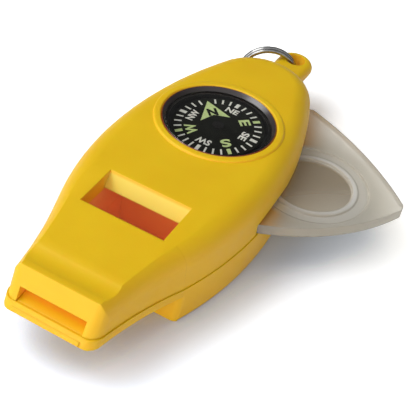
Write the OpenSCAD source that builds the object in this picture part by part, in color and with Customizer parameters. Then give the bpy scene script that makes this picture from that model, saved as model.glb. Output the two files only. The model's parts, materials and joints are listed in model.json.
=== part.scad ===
// Pocket survival whistle of two moulded shells. A round compass sits flush in
// the top, a clear magnifier leaf swings out of a slot in the right side, and a
// steel split ring hangs in an eyelet at the rear.
// Millimetres. The origin is on the resting face, straight below the compass
// axis. X points to the right of the body, Y from the mouthpiece to the eyelet,
// and Z up. Everything is drawn in the pose of the photograph: the leaf is part
// way open and every other moving piece is where it sits.

/* [Body] */
// height from the resting face to the top face
body_h = 15.2; // [15.1:0.1:16]
// half width at the widest place
half_w = 15.45; // [15.45:0.05:15.9]
// lengthwise place of the widest section
wide_y = -10; // [-10.5:0.1:-9.5]
// radius of the outline ahead of the widest place
front_r = 63.5; // [62.5:0.5:64.5]
// radius of the outline behind the widest place
rear_r = 77.5; // [76.5:0.5:79.5]
// lengthwise place of the rear tip
tip_y = 26.3; // [26.1:0.1:26.7]
// height of the joint between the two shells, as a share of the body height
seam_share = 0.46; // [0.455:0.005:0.465]
// climb of the joint from the block to the mouth, as a share of the body height
rise_share = 0.145; // [0.14:0.005:0.15]
// lengthwise place where the joint starts to climb
seam_bend_y = -31; // [-32:0.5:-30.5]
// how much each side leans in from the joint to the top
draft = 0.1; // [0.05:0.05:0.2]
// rounding of the long top edges
edge_r = 3.9; // [3.6:0.1:4.1]
// rounding of the lower edge of the block
foot_r = 0.7; // [0.5:0.1:0.9]
// thickness of the side wall around the leaf
wall = 0.9; // [0.85:0.05:1]
// amount by which the lower shell stands out at the joint
seam_step = 0.15; // [0.1:0.05:0.2]

/* [Nose and mouthpiece] */
// half width that the sides of the nose run towards
nose_w = 7.35; // [7.25:0.05:7.6]
// lengthwise place, ahead of the mouth, where the nose sides would be parallel
nose_y = -57.2; // [-58:0.2:-56.4]
// lengthwise place of the upper edge of the mouth
mouth_y = -47.1; // [-47.5:0.1:-46.9]
// how far the lower edge of the mouth stands ahead of the upper edge
mouth_lean = 3.1; // [2.7:0.1:3.3]
// fall of the top face from the window to the mouth
nose_fall = 1; // [0.8:0.1:1.1]
// rounding of the two upright corners of the mouth
mouth_corner_r = 2; // [1.8:0.1:2.2]
// thickness of the strip below the joint at the nose
strip_t = 1.5; // [1.4:0.1:1.6]
// half width of the slot in the mouth
slot_w = 5.6; // [5.4:0.1:5.8]
// thickness of the roof over the windway at the mouth
roof_t = 2.9; // [2.8:0.1:3]
// height of the windway where it meets the window
way_exit_h = 1.2; // [1:0.1:1.4]
// thickness of the roof over the windway at the window
roof_exit_t = 2.1; // [2:0.1:2.2]

/* [Window and chamber] */
// half width of the window and of the chamber
window_w = 7.35; // [7.2:0.05:7.45]
// lengthwise place of the front edge of the window
window_y = -31.3; // [-31.5:0.1:-31.1]
// length of the window
window_len = 8.5; // [8.3:0.1:8.6]
// length of the sloping blade at the rear of the window
blade_len = 1.5; // [1.3:0.1:1.7]
// thickness of the top wall where the blade ends
blade_t = 2.7; // [2.6:0.1:2.8]
// lengthwise place of the rear wall of the chamber
chamber_y = -18; // [-18.2:0.1:-17.9]
// thickness of the floor of the block
floor_t = 1.6; // [1.4:0.1:1.8]
// lengthwise place of the front face of the block
block_y = -31.7; // [-31.9:0.1:-31.6]
// rounding of the two front corners of the block
block_corner_r = 1.6; // [1.4:0.1:1.8]

/* [Magnifier leaf] */
// thickness of the leaf
leaf_t = 1.9; // [1.8:0.05:2]
// lengthwise place of the hinge pin of the leaf
leaf_pin_y = 20.2; // [20.1:0.1:20.3]
// radius of the far edge of the leaf about its pin
leaf_len = 36.3; // [36.1:0.1:36.4]
// half width of the leaf near its far end
leaf_w = 14.2; // [14:0.1:14.3]
// radius of the two long edges of the leaf
leaf_side_r = 64; // [63:0.5:65]
// rounding of the two far corners of the leaf
leaf_corner_r = 1.6; // [1.4:0.1:1.8]
// angle by which the leaf stands open
leaf_open = 45.9; // [45:0.5:47]
// distance from the pin to the middle of the lens
lens_at = 25.3; // [25.1:0.1:25.4]
// radius of the lens
lens_r = 7.1; // [7:0.1:7.2]
// radius of the shallow ring around the lens
lens_ring_r = 10; // [9.9:0.1:10.1]
// depth of the shallow ring around the lens
lens_ring_d = 0.35; // [0.3:0.05:0.4]
// radius of the hinge pin of the leaf
pin_r = 1.25; // [1.2:0.05:1.3]
// height of the thumb notch above the leaf slot
notch_h = 0.6; // [0.5:0.05:0.7]

/* [Compass] */
// radius of the compass capsule
capsule_r = 10; // [9.95:0.01:10.05]
// radius of the turning card
card_r = 8; // [7.8:0.1:8.1]
// depth of the middle of the card below the top face
card_depth = 2; // [1.95:0.05:2.3]
// angle by which the floating card leans on its post
card_lean = 6.9; // [4:0.1:7]
// thickness of the card
card_t = 0.5; // [0.45:0.05:0.55]
// height of the clear dome above the rim of its cup
dome_rise = 0.7; // [0.6:0.05:0.8]
// thickness of the clear dome
dome_t = 0.5; // [0.45:0.05:0.55]
// height of the raised collar around the capsule
collar_h = 0.35; // [0.3:0.05:0.4]

/* [Eyelet and ring] */
// distance from the rear tip to the middle of the eyelet
eyelet_at = 8; // [7.9:0.1:8.2]
// radius of the eyelet tab
eyelet_r = 3.6; // [3.55:0.05:3.75]
// radius of the hole in the eyelet
eye_r = 2; // [1.95:0.05:2.05]
// thickness of the eyelet tab
tab_t = 3; // [2.9:0.1:3.1]
// radius of the split ring to the middle of its wire
ring_r = 5.6; // [5.5:0.05:5.7]
// thickness of the wire of the split ring
wire_t = 0.9; // [0.85:0.05:0.95]

/* [Hidden] */
$fn = 96;
tiny = 0.01;
slide_gap = 0.12;
fit_gap = 0.05;
run_gap = 0.04;
join_step = 0.02;
// heights of the joint between the shells
seam_z = body_h * seam_share;
seam_rise = body_h * rise_share;
// heights of the leaf and of its slot
leaf_z = seam_z + slide_gap;
leaf_top = leaf_z + leaf_t;
slot_top = leaf_top + slide_gap;
// outline: both arcs of a side have their centres on the widest section
front_cx = front_r - half_w;
rear_cx = rear_r - half_w;
// rear tip: circle that touches both rear arcs from inside
tip_d = tip_y - wide_y;
tip_r = (rear_r * rear_r - rear_cx * rear_cx - tip_d * tip_d) / (2 * (rear_r - tip_d));
tip_cy = tip_y - tip_r;
tip_turn = asin((tip_cy - wide_y) / (rear_r - tip_r));
tip_join_y = wide_y + rear_r * sin(tip_turn);
// nose: hollow arc that touches the front arc and runs into the parallel sides
nose_dy = wide_y - nose_y;
nose_a = nose_w + front_cx;
nose_r = (nose_a * nose_a + nose_dy * nose_dy - front_r * front_r) / (2 * (front_r - nose_a));
nose_turn = asin(nose_dy / (front_r + nose_r));
nose_join_y = wide_y - front_r * sin(nose_turn);
nose_join_x = front_r * cos(nose_turn) - front_cx;
lip_out = 0.35;
lip_y = mouth_y - mouth_lean - lip_out;
mouth_mid_y = mouth_y - mouth_lean / 2;
mouth_turn = asin((mouth_mid_y - nose_y) / nose_r);
mouth_half = nose_w + nose_r * (1 - cos(mouth_turn));
block_turn = asin((block_y - nose_y) / nose_r);
block_half = nose_w + nose_r * (1 - cos(block_turn));
// heights at the mouth
seam_mouth_z = seam_z + seam_rise;
strip_mouth_z = seam_mouth_z - strip_t;
mouth_top_z = body_h - nose_fall;
lean_angle = atan(mouth_lean / (mouth_top_z - strip_mouth_z));
seam_lip_y = mouth_y - (mouth_top_z - seam_mouth_z) * tan(lean_angle);
seam_slope = seam_rise / (seam_bend_y - seam_lip_y);
block_seam_z = seam_z + (seam_bend_y - block_y) * seam_slope;
window_rear_y = window_y + window_len;
way_exit_w = window_w - 0.2;
// slot through which the leaf swings out
slot_front_y = -13.4;
heel_r = 3.1;
shoulder_a = 4.6;
shoulder_w = 8;
// lower and upper end of the seat of the hinge pin
pin_low_z = 2.5;
pin_top_z = seam_z + 6;
// compass heights and radii
cup_top = body_h - 0.4;
cup_room = body_h - slot_top;
cup_z = slot_top + cup_room * 0.1;
cup_floor_z = cup_z + cup_room * 0.115;
card_z = body_h - card_depth;
card_low_z = card_z - card_t;
dome_z = cup_top - dome_t;
cup_in_r = capsule_r - 1.3;
dome_r = capsule_r - 0.85;
seal_t = 0.25;
well_r = capsule_r + fit_gap;
rim_r = capsule_r + 0.25;
collar_r = capsule_r + 1.4;
lip_r = 0.5;
post_r = 0.6;
jewel_r = 1;
magnet_w = 2.4;
magnet_len = 11;
magnet_t = 0.8;
// directions of north on the card and of the card's high side
north_turn = 45;
lean_turn = 31;
// eyelet and ring
eyelet_y = tip_y + eyelet_at;
tab_mid_z = seam_z + 0.5 + tab_t / 2;
ring_turn = 207.5;
ring_pitch = 28.5;

// node to show, "all" for the whole object

// full-width slab between two lengthwise places and two heights
module slab(y0, y1, z0, z1, w = 40) {
  translate([-w, y0, z0]) cube([2 * w, y1 - y0, z1 - z0]);
}

// side view drawn in Y and Z, made w wide to each side
module side_view(w) {
  rotate([90, 0, 90]) translate([0, 0, -w]) linear_extrude(2 * w) children();
}

// half section of a moulded rim: it leans in and is rounded at its top
module lean_section(r, z0, z1) {
  rt = r - draft;
  polygon([[0, z0], [r, z0], [rt, z1 - edge_r], [0, z1 - edge_r]]);
  translate([0, z1 - edge_r - tiny]) square([rt - edge_r, edge_r + tiny]);
  translate([rt - edge_r, z1 - edge_r]) intersection() {
    circle(r = edge_r);
    translate([-tiny, -tiny]) square([edge_r + 1, edge_r + 1]);
  }
}

// half section of a rim that stands straight and is rounded at its foot
module foot_section(r, z0, z1) {
  translate([0, z0 + foot_r]) square([r, z1 - z0 - foot_r]);
  translate([0, z0]) square([r - foot_r, foot_r + tiny]);
  translate([r - foot_r, z0 + foot_r]) circle(r = foot_r);
}

// solid between two crossing discs whose centres stand c off the centreline
module crossed_rims(c) {
  intersection() {
    translate([-c, wide_y, 0]) rotate_extrude($fn = 240) children();
    translate([c, wide_y, 0]) rotate_extrude($fn = 240) children();
  }
}

// the two hollow sides of the nose, as the discs that cut them
module nose_sides() {
  for (s = [-1, 1]) translate([s * (nose_w + nose_r), nose_y, 0])
    rotate_extrude($fn = 180) children();
}

// outline of the upper shell as a solid, before its insides are cut
module upper_form() {
  z0 = seam_z - 1;
  z1 = body_h;
  rn = nose_r - join_step;
  rt = rn + draft;
  // behind the widest place
  intersection() {
    crossed_rims(rear_cx) lean_section(rear_r, z0, z1);
    slab(wide_y, tip_join_y, z0, z1);
  }
  intersection() {
    translate([0, tip_cy, 0]) rotate_extrude() lean_section(tip_r - join_step, z0, z1);
    slab(tip_join_y, tip_y + 2, z0, z1);
  }
  // ahead of the widest place
  intersection() {
    crossed_rims(front_cx) lean_section(front_r, z0, z1);
    slab(nose_join_y, wide_y, z0, z1);
  }
  // nose
  difference() {
    slab(lip_y - 1, nose_join_y, z0, z1, nose_join_x + 1);
    nose_sides() {
      polygon([[0, z0 - 1], [rn, z0 - 1], [rn, z0], [rt, z1 - edge_r], [0, z1 - edge_r]]);
      difference() {
        translate([0, z1 - edge_r - tiny]) square([rt + edge_r, edge_r + 1]);
        translate([rt + edge_r, z1 - edge_r]) circle(r = edge_r);
      }
    }
  }
}

// outline of the lower shell as a solid
module lower_form() {
  z1 = seam_mouth_z + 1;
  intersection() {
    crossed_rims(rear_cx) foot_section(rear_r + seam_step, 0, z1);
    slab(wide_y, tip_join_y, 0, z1);
  }
  intersection() {
    translate([0, tip_cy, 0]) rotate_extrude() foot_section(tip_r + seam_step + join_step, 0, z1);
    slab(tip_join_y, tip_y + 2, 0, z1);
  }
  intersection() {
    crossed_rims(front_cx) foot_section(front_r + seam_step, 0, z1);
    slab(nose_join_y, wide_y, 0, z1);
  }
  difference() {
    slab(lip_y - 1, nose_join_y, 0, z1, nose_join_x + seam_step);
    translate([0, 0, -1]) nose_sides() square([nose_r - join_step - seam_step, z1 + 2]);
  }
}

// waste outside a circle that touches a front line and a side line at an angle
module corner_bite(r, turn) {
  cx = -r * (1 - sin(turn)) / cos(turn);
  difference() {
    polygon([[cx, r], [cx, -1], [3, -1], [3, r - r * sin(turn)],
             [cx + r * cos(turn), r - r * sin(turn)]]);
    translate([cx, r]) circle(r = r, $fn = 48);
  }
}

// cutter that rounds the two upright corners of the mouth along its lean
module mouth_corners(w, r, out = 0) {
  for (s = [0, 1]) mirror([s, 0, 0])
    translate([w, mouth_mid_y - out, mouth_top_z + (mouth_mid_y - mouth_y) / tan(lean_angle)])
      rotate([-lean_angle, 0, 0]) rotate([0, atan(sin(lean_angle) * tan(mouth_turn)), 0])
        translate([0, 0, -10]) linear_extrude(20)
          corner_bite(r, asin(cos(lean_angle) * sin(mouth_turn)));
}

// plan shape of the windway, made narrower by g on each side
module way_plan(g) {
  polygon([[-slot_w + g, lip_y - 1], [slot_w - g, lip_y - 1], [slot_w - g, mouth_y],
           [way_exit_w - g, window_y], [-way_exit_w + g, window_y], [-slot_w + g, mouth_y]]);
}

module upper_shell() {
  color("gold") difference() {
    union() {
      intersection() {
        upper_form();
        side_view(30) polygon([[tip_y + 2, seam_z], [tip_y + 2, body_h + 1],
          [window_rear_y, body_h + 1], [window_rear_y, body_h], [mouth_y, mouth_top_z],
          [seam_lip_y, seam_mouth_z], [seam_bend_y, seam_z]]);
      }
      // raised collar around the compass
      translate([0, 0, body_h - 1]) rotate_extrude() {
        square([collar_r - collar_h, 1 + collar_h]);
        square([collar_r, 1]);
        translate([collar_r - collar_h, 1]) circle(r = collar_h);
      }
      eyelet_tab();
    }
    // compass well
    translate([0, 0, cup_z - 0.02]) cylinder(r = well_r, h = 10);
    translate([0, 0, body_h + collar_h - 0.25]) cylinder(r1 = well_r, r2 = rim_r + 0.05, h = 0.3);
    // leaf cavity and the slot in the right side
    leaf_cavity();
    // window, its blade and the chamber below
    side_view(window_w) polygon([[window_y, seam_z - 2], [chamber_y, seam_z - 2],
      [chamber_y, body_h - blade_t - 1], [chamber_y - 1, body_h - blade_t],
      [window_rear_y - blade_len, body_h - blade_t], [window_rear_y, body_h],
      [window_rear_y, body_h + 1], [window_y, body_h + 1]]);
    // windway with the room for the windway block
    intersection() {
      translate([0, 0, seam_z - 2]) linear_extrude(body_h) way_plan(0);
      side_view(20) polygon([[lip_y - 2, seam_z - 2], [window_y + tiny, seam_z - 2],
        [window_y + tiny, body_h - roof_exit_t], [mouth_y, mouth_top_z - roof_t],
        [lip_y - 2, mouth_top_z - roof_t]]);
    }
    // dip behind the upper lip
    translate([-20, mouth_y + 2.6, body_h - nose_fall + 0.1 + 5.7]) rotate([0, 90, 0])
      cylinder(r = 6, h = 40, $fn = 180);
    mouth_corners(mouth_half - draft / 2, mouth_corner_r);
    // seat of the hinge pin
    translate([0, leaf_pin_y, pin_low_z])
      cylinder(r = pin_r, h = pin_top_z - pin_low_z, $fn = 48);
    // eyelet hole
    translate([0, eyelet_y, 0]) cylinder(r = eye_r, h = 20, $fn = 48);
  }
}

// tab with rounded rim that carries the eyelet
module eyelet_tab() {
  half_t = tab_t / 2;
  translate([0, eyelet_y, tab_mid_z]) rotate_extrude() {
    translate([0, -half_t]) square([eyelet_r - half_t, tab_t]);
    intersection() {
      translate([eyelet_r - half_t, 0]) circle(r = half_t);
      translate([0, -half_t]) square([eyelet_r, tab_t]);
    }
  }
  translate([0, eyelet_y, tab_mid_z]) rotate([90, 0, 0]) linear_extrude(eyelet_y - tip_cy) {
    translate([-eyelet_r + half_t, -half_t]) square([2 * (eyelet_r - half_t), tab_t]);
    for (s = [-1, 1]) translate([s * (eyelet_r - half_t), 0]) circle(r = half_t);
  }
  // the tab widens where it meets the tip
  difference() {
    slab(tip_y - 5, tip_y + 2.4, tab_mid_z - half_t, tab_mid_z + half_t, eyelet_r + 2.6);
    for (s = [-1, 1]) translate([s * (eyelet_r + 3), tip_y + 2.4, 0])
      cylinder(r = 3.2, h = 20, $fn = 48);
  }
}

// room in which the leaf swings; it is open to the right side
module leaf_cavity() {
  z0 = seam_z - 1;
  h = slot_top - z0;
  translate([0, 0, z0]) intersection() {
    linear_extrude(h) union() {
      // inside of the left wall
      intersection() {
        translate([rear_cx, wide_y]) circle(r = rear_r - wall - draft / 3, $fn = 240);
        translate([-rear_cx, wide_y]) circle(r = rear_r - wall - draft / 3, $fn = 240);
        translate([-40, wide_y]) square([80, tip_join_y - wide_y]);
      }
      translate([0, tip_cy]) circle(r = tip_r - wall - draft / 3);
      intersection() {
        translate([front_cx, wide_y]) circle(r = front_r - wall - draft / 3, $fn = 240);
        translate([-front_cx, wide_y]) circle(r = front_r - wall - draft / 3, $fn = 240);
        translate([-40, slot_front_y - 3]) square([80, wide_y - slot_front_y + 3 + tiny]);
      }
      // opening through the right wall and round to the tip
      polygon([[0.5, slot_front_y], [30, slot_front_y], [30, tip_y + 1], [8, tip_y + 0.7],
               [0.5, tip_y - 1.3]]);
    }
    translate([0, leaf_pin_y, 0]) cylinder(r = leaf_len + 0.35, h = h, $fn = 180);
  }
  // thumb notch over the slot
  notch_front_y = slot_front_y + 0.4;
  notch_y = (notch_front_y - 1) / 2;
  notch_half = (-1 - notch_front_y) / 2;
  notch_r = (notch_half * notch_half + notch_h * notch_h) / (2 * notch_h);
  intersection() {
    translate([half_w - 3, notch_y, slot_top + notch_h - notch_r]) rotate([0, 90, 0])
      cylinder(r = notch_r, h = 10, $fn = 180);
    translate([half_w - 3, notch_front_y - 0.2, slot_top - 1])
      cube([10, 2 * notch_half + 0.4, notch_h + 2]);
  }
}

module lower_shell() {
  strip_bend_z = block_seam_z - strip_t;
  color("goldenrod") difference() {
    union() {
      intersection() {
        lower_form();
        side_view(30) {
          polygon([[tip_y + 2, 0], [block_y, 0], [block_y, strip_bend_z],
            [lip_y + lip_r, strip_mouth_z], [lip_y, strip_mouth_z + lip_r],
            [seam_lip_y - 0.15, seam_mouth_z], [seam_bend_y, seam_z], [tip_y + 2, seam_z]]);
          translate([lip_y + lip_r, strip_mouth_z + lip_r]) circle(r = lip_r, $fn = 48);
        }
      }
      // windway block that rises into the nose of the upper shell
      intersection() {
        translate([0, 0, seam_z - 2]) linear_extrude(body_h) way_plan(fit_gap);
        side_view(20) polygon([[seam_lip_y + 0.3, seam_mouth_z - 1], [window_y - 0.3, seam_z - 1],
          [window_y - 0.3, body_h - roof_exit_t - way_exit_h], [seam_lip_y + 0.3, seam_mouth_z]]);
      }
    }
    // sound chamber
    side_view(window_w) polygon([[window_y, floor_t], [chamber_y, floor_t],
      [chamber_y, body_h], [window_y, body_h]]);
    block_corners();
    mouth_corners(mouth_half + seam_step, mouth_corner_r + lip_out, lip_out);
    translate([0, leaf_pin_y, pin_low_z])
      cylinder(r = pin_r, h = pin_top_z - pin_low_z, $fn = 48);
  }
}

// cutter that rounds the two front corners of the block
module block_corners() {
  for (s = [0, 1]) mirror([s, 0, 0])
    translate([block_half + seam_step / cos(block_turn), block_y, -1])
      linear_extrude(block_seam_z - strip_t + 0.95) corner_bite(block_corner_r, block_turn);
}

// plan of the leaf with its pin at the origin; a runs along the leaf
module leaf_plan() {
  side_a = leaf_len * cos(asin(leaf_w / leaf_len)) - 2.3;
  intersection() {
    circle(r = leaf_len, $fn = 240);
    intersection_for (t = [-1, 1])
      translate([t * (leaf_side_r - leaf_w), -side_a]) circle(r = leaf_side_r, $fn = 240);
    translate([-30, -40]) square([60, 40 - shoulder_a]);
  }
  polygon([[-heel_r * 0.95, 0], [heel_r * 0.95, 0], [shoulder_w, -shoulder_a + 0.1],
           [shoulder_w - 1, -shoulder_a - 1], [-shoulder_w + 1, -shoulder_a - 1],
           [-shoulder_w, -shoulder_a + 0.1]]);
  circle(r = heel_r, $fn = 64);
}

module magnifier_leaf() {
  bulge = 0.5;
  ball_r = (lens_r * lens_r + bulge * bulge) / (2 * bulge);
  color("lightgray") translate([0, leaf_pin_y, leaf_z]) rotate([0, 0, leaf_open]) {
    difference() {
      linear_extrude(leaf_t) leaf_plan();
      translate([0, 0, -1]) cylinder(r = pin_r + run_gap, h = leaf_t + 2, $fn = 48);
      translate([0, -lens_at, -1]) cylinder(r = lens_r, h = leaf_t + 2);
      translate([0, -lens_at, leaf_t - lens_ring_d]) difference() {
        cylinder(r = lens_ring_r, h = 1);
        translate([0, 0, -1]) cylinder(r = lens_r + 1, h = 3);
      }
      leaf_corners();
    }
    translate([0, -lens_at, 0]) intersection() {
      cylinder(r = lens_r + tiny, h = leaf_t);
      translate([0, 0, leaf_t - ball_r]) sphere(r = ball_r, $fn = 200);
      translate([0, 0, ball_r]) sphere(r = ball_r, $fn = 200);
    }
  }
}

// cutter that rounds the two far corners of the leaf
module leaf_corners() {
  turn = asin((leaf_w - leaf_corner_r) / (leaf_len - leaf_corner_r));
  r = leaf_corner_r;
  for (s = [0, 1]) mirror([s, 0, 0]) translate([leaf_w - r,
      -(leaf_len - r) * cos(turn), -1]) difference() {
    linear_extrude(leaf_t + 2) polygon([[0, 0], [r + 2, 0.2], [r + 2, -r - 3],
      [(r + 3) * sin(turn), -(r + 3) * cos(turn)]]);
    cylinder(r = r, h = leaf_t + 3, $fn = 48);
  }
}

module leaf_pin() {
  color("silver") translate([0, leaf_pin_y, pin_low_z + 0.1])
    cylinder(r = pin_r, h = pin_top_z - pin_low_z - 0.2, $fn = 48);
}

module compass_cup() {
  color([0.12, 0.12, 0.12]) translate([0, 0, cup_z]) difference() {
    cylinder(r = capsule_r, h = cup_top - cup_z);
    translate([0, 0, cup_floor_z - cup_z]) cylinder(r = cup_in_r, h = 10);
    translate([0, 0, dome_z - seal_t - cup_z]) cylinder(r = dome_r, h = 10);
  }
}

module dome_seal() {
  color([0.05, 0.05, 0.05]) translate([0, 0, dome_z - seal_t]) difference() {
    cylinder(r = dome_r, h = seal_t);
    translate([0, 0, -1]) cylinder(r = cup_in_r, h = seal_t + 2);
  }
}

module compass_dome() {
  ball_r = (dome_r * dome_r + dome_rise * dome_rise) / (2 * dome_rise);
  top_z = cup_top + dome_rise;
  color([0.8, 0.85, 0.9, 0.4]) difference() {
    intersection() {
      translate([0, 0, dome_z]) cylinder(r = dome_r, h = 3);
      translate([0, 0, top_z - ball_r]) sphere(r = ball_r, $fn = 200);
    }
    intersection() {
      translate([0, 0, dome_z - 1]) cylinder(r = cup_in_r - 0.3, h = 4);
      translate([0, 0, top_z - dome_t - ball_r]) sphere(r = ball_r, $fn = 200);
    }
  }
}

// leans the card and its magnet on the post, about the middle of the upper face
module leaned() {
  translate([0, 0, card_z]) rotate([0, 0, lean_turn]) rotate([0, -card_lean, 0])
    rotate([0, 0, -lean_turn]) children();
}

// upright cutter for the hole in which the jewel sits
module jewel_hole() {
  translate([0, 0, cup_floor_z]) cylinder(r = jewel_r, h = body_h, $fn = 48);
}

module compass_card() {
  color([0.08, 0.08, 0.08]) difference() {
    leaned() translate([0, 0, -card_t]) cylinder(r = card_r, h = card_t);
    jewel_hole();
  }
}

module card_magnet() {
  color([0.4, 0.4, 0.42]) difference() {
    leaned() rotate([0, 0, north_turn]) translate([-magnet_w / 2, -magnet_len / 2, -card_t - magnet_t])
      cube([magnet_w, magnet_len, magnet_t]);
    jewel_hole();
  }
}

module card_jewel() {
  color([0.2, 0.2, 0.2]) difference() {
    translate([0, 0, card_low_z - magnet_t - 0.2])
      cylinder(r = jewel_r, h = card_t + magnet_t + 0.4, $fn = 48);
    translate([0, 0, card_low_z - magnet_t - 1.2])
      cylinder(r = post_r + run_gap, h = magnet_t + 1.35, $fn = 48);
  }
}

module compass_post() {
  color("silver") translate([0, 0, cup_floor_z])
    cylinder(r = post_r, h = card_low_z + 0.1 - cup_floor_z, $fn = 48);
}

module split_ring() {
  color("silver") translate([0, eyelet_y, tab_mid_z]) rotate([0, 0, ring_turn])
    rotate([0, ring_pitch, 0]) translate([ring_r, 0, 0]) rotate([90, 0, 0]) {
      for (s = [-1, 1]) translate([0, 0, s * wire_t * 0.49]) rotate_extrude()
        translate([ring_r, 0]) circle(r = wire_t / 2, $fn = 32);
    }
}

upper_shell();
lower_shell();
magnifier_leaf();
leaf_pin();
compass_cup();
compass_dome();
dome_seal();
compass_card();
card_jewel();
card_magnet();
compass_post();
split_ring();
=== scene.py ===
import json
import logging
import math
from dataclasses import dataclass, field
from enum import Enum

import bmesh
import bpy
import numpy as np
from mathutils import Matrix, Vector

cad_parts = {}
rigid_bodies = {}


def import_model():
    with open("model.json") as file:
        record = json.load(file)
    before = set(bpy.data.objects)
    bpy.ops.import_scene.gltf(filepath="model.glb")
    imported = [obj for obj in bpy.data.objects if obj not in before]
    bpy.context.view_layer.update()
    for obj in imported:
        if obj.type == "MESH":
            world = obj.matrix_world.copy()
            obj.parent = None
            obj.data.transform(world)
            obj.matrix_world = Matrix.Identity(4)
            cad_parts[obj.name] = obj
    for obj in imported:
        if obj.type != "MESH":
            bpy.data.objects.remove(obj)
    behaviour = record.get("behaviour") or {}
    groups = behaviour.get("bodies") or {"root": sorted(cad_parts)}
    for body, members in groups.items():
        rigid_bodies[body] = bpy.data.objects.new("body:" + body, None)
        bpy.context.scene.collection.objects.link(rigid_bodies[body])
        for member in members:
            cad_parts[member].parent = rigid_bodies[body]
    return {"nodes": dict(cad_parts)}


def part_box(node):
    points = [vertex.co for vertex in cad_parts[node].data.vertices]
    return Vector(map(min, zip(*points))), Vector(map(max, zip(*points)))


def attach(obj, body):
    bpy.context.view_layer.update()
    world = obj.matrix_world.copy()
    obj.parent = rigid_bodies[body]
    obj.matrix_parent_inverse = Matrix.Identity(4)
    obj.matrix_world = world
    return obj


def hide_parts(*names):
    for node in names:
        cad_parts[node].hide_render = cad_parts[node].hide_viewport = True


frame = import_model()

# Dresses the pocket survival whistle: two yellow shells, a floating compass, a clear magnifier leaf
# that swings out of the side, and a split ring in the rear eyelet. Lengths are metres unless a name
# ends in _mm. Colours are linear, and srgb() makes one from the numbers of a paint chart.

LOG = logging.getLogger("whistle")
MM = 0.001
CREASE = math.radians(28.0)
MERGE_GAP = 0.0005 * MM
ON_AXIS = 1e-6 * MM
CLOUD_ROUGHNESS = 0.55
BEVEL_SAMPLES = 6
LETTER_STEPS = 6

Socket = bpy.types.NodeSocket
Triple = tuple[float, float, float]
Colour = Triple
BLACK: Colour = (0.0, 0.0, 0.0)
ORIGIN: Triple = (0.0, 0.0, 0.0)


def srgb(red: int, green: int, blue: int) -> Colour:
    """Turns a colour as a paint chart gives it into shader light.

    Args:
        red: Red from 0 to 255.
        green: Green from 0 to 255.
        blue: Blue from 0 to 255.

    Returns:
        The linear red, green and blue from 0 to 1.
    """
    steps = (v / 255 for v in (red, green, blue))
    return tuple(v / 12.92 if v <= 0.04045 else ((v + 0.055) / 1.055) ** 2.4 for v in steps)


class Wiring:
    """A short hand for adding nodes to a tree and filling their inputs."""

    def __init__(self, tree: bpy.types.NodeTree) -> None:
        """Keeps the tree that the nodes go into."""
        self.tree = tree

    def meant(self, value: object) -> object:
        """Gives what an input takes for a value, which is the value itself."""
        return value

    def node(self, kind: str, values: dict[object, object] | None = None,
             **settings: object) -> bpy.types.Node:
        """Adds a node.

        Args:
            kind: Blender's name for the kind of node.
            values: A socket or a plain value for each input, by name or place.
            settings: Its other settings.

        Returns:
            The new node.
        """
        made = self.tree.nodes.new(kind)
        for key, value in settings.items():
            setattr(made, key, value)
        for key, value in (values or {}).items():
            value = self.meant(value)
            if isinstance(value, Socket):
                self.tree.links.new(value, made.inputs[key])
            else:
                made.inputs[key].default_value = value
        return made

    def math(self, operation: str, first: object, second: object = 0.0) -> Socket:
        """One step of arithmetic, by Blender's name for it, on sockets or numbers."""
        return self.node("ShaderNodeMath", {0: first, 1: second}, operation=operation).outputs[0]


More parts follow.
